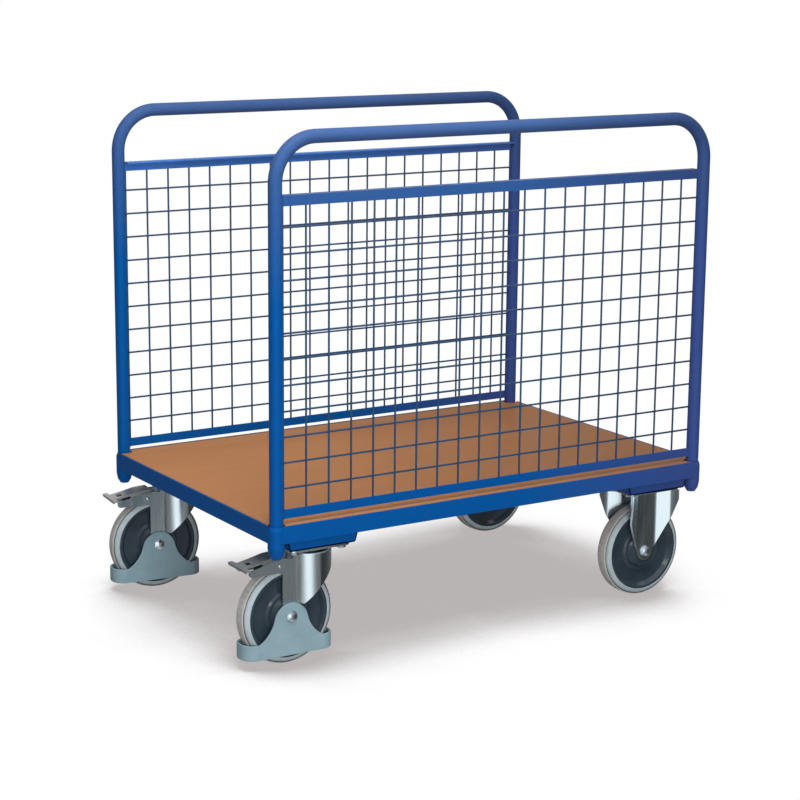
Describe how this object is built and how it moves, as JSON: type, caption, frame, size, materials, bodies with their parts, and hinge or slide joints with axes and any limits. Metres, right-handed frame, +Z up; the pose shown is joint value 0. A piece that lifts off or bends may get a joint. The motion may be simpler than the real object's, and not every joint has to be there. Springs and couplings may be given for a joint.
{
  "type": "mesh-sided platform trolley",
  "caption": "Platform trolley with a wood deck, mesh side walls on lift-out tube hoops, braked swivel castors with foot guards at the rear and fixed castors at the front.",
  "frame": {"origin": "on the floor under the middle of the overall box", "axes": "+X is the front end with the fixed castors, -Y is the right side, +Z is up"},
  "size_m": [1.1012, 0.717, 1.0455],
  "materials": {
    "blue_coat": "semi-gloss gentian blue powder coat on welded steel",
    "deck_wood": "orange-brown wood-decor board, satin",
    "bright_zinc": "bright zinc plated pressed steel",
    "bare_steel": "plain turned steel",
    "guard_plastic": "blue-grey moulded plastic, matt",
    "grey_tyre": "grey solid elastic rubber, matt",
    "core_plastic": "dark slate moulded plastic, slightly glossy",
    "shoe_rubber": "black rubber brake block"
  },
  "bodies": {
    "chassis": {"deck_board": "deck_wood", "right_frame_rail": "blue_coat", "left_frame_rail": "blue_coat", "rear_frame_rail": "blue_coat", "front_frame_rail": "blue_coat", "corner_sockets": "blue_coat", "rear_castor_channel": "blue_coat", "front_castor_channel": "blue_coat", "castor_bolts": "bright_zinc", "castor_nuts": "bright_zinc", "right_swivel_plate": "bright_zinc", "left_swivel_plate": "bright_zinc", "right_king_pin": "bare_steel", "left_king_pin": "bare_steel", "right_ball_race": "bare_steel", "left_ball_race": "bare_steel", "right_fixed_fork": "bright_zinc", "left_fixed_fork": "bright_zinc", "fixed_axle_bolts": "bright_zinc", "fixed_axle_nuts": "bright_zinc", "fixed_axle_tubes": "bare_steel"},
    "right_side_wall": {"right_hoop": "blue_coat", "right_top_rail": "blue_coat", "right_bottom_rail": "blue_coat", "right_mesh_uprights": "blue_coat", "right_mesh_crosswires": "blue_coat"},
    "right_castor": {"right_swivel_fork": "bright_zinc", "right_foot_guard": "guard_plastic", "right_swivel_axle_bolt": "bright_zinc", "right_swivel_axle_nut": "bright_zinc", "right_swivel_axle_tube": "bare_steel", "right_pedal_pin": "bare_steel"},
    "right_pedal": {"right_brake_pedal": "bright_zinc", "right_brake_shoe": "shoe_rubber"},
    "rear_right_wheel": {"rear_right_tyre": "grey_tyre", "rear_right_wheel_core": "core_plastic", "rear_right_bearing": "bare_steel"},
    "front_right_wheel": {"front_right_tyre": "grey_tyre", "front_right_wheel_core": "core_plastic", "front_right_bearing": "bare_steel"},
    "left_side_wall": {"left_hoop": "blue_coat", "left_top_rail": "blue_coat", "left_bottom_rail": "blue_coat", "left_mesh_uprights": "blue_coat", "left_mesh_crosswires": "blue_coat"},
    "left_castor": {"left_swivel_fork": "bright_zinc", "left_foot_guard": "guard_plastic", "left_swivel_axle_bolt": "bright_zinc", "left_swivel_axle_nut": "bright_zinc", "left_swivel_axle_tube": "bare_steel", "left_pedal_pin": "bare_steel"},
    "left_pedal": {"left_brake_pedal": "bright_zinc", "left_brake_shoe": "shoe_rubber"},
    "rear_left_wheel": {"rear_left_tyre": "grey_tyre", "rear_left_wheel_core": "core_plastic", "rear_left_bearing": "bare_steel"},
    "front_left_wheel": {"front_left_tyre": "grey_tyre", "front_left_wheel_core": "core_plastic", "front_left_bearing": "bare_steel"}
  },
  "joints": [
    {"name": "right_wall_lift", "type": "slide", "parent": "chassis", "child": "right_side_wall", "axis": [0, 0, 1], "range_m": [0, 0.046]},
    {"name": "right_castor_swivel", "type": "hinge", "parent": "chassis", "child": "right_castor", "pos_m": [-0.39139, -0.288, 0.23], "axis": [0, 0, 1], "continuous": true},
    {"name": "rear_right_wheel_spin", "type": "hinge", "parent": "right_castor", "child": "rear_right_wheel", "pos_m": [-0.44439, -0.288, 0.1], "axis": [0, 1, 0], "continuous": true},
    {"name": "right_pedal_press", "type": "hinge", "parent": "right_castor", "child": "right_pedal", "pos_m": [-0.46739, -0.288, 0.204], "axis": [0, -1, 0], "range_deg": [0, 8]},
    {"name": "front_right_wheel_spin", "type": "hinge", "parent": "chassis", "child": "front_right_wheel", "pos_m": [0.43461, -0.288, 0.1], "axis": [0, 1, 0], "continuous": true},
    {"name": "left_wall_lift", "type": "slide", "parent": "chassis", "child": "left_side_wall", "axis": [0, 0, 1], "range_m": [0, 0.046]},
    {"name": "left_castor_swivel", "type": "hinge", "parent": "chassis", "child": "left_castor", "pos_m": [-0.39139, 0.288, 0.23], "axis": [0, 0, 1], "continuous": true},
    {"name": "rear_left_wheel_spin", "type": "hinge", "parent": "left_castor", "child": "rear_left_wheel", "pos_m": [-0.4441, 0.29354, 0.1], "axis": [0.1045, 0.9945, 0], "continuous": true},
    {"name": "left_pedal_press", "type": "hinge", "parent": "left_castor", "child": "left_pedal", "pos_m": [-0.46697, 0.29594, 0.204], "axis": [-0.1045, -0.9945, 0], "range_deg": [0, 8]},
    {"name": "front_left_wheel_spin", "type": "hinge", "parent": "chassis", "child": "front_left_wheel", "pos_m": [0.43461, 0.288, 0.1], "axis": [0, 1, 0], "continuous": true}
  ]
}
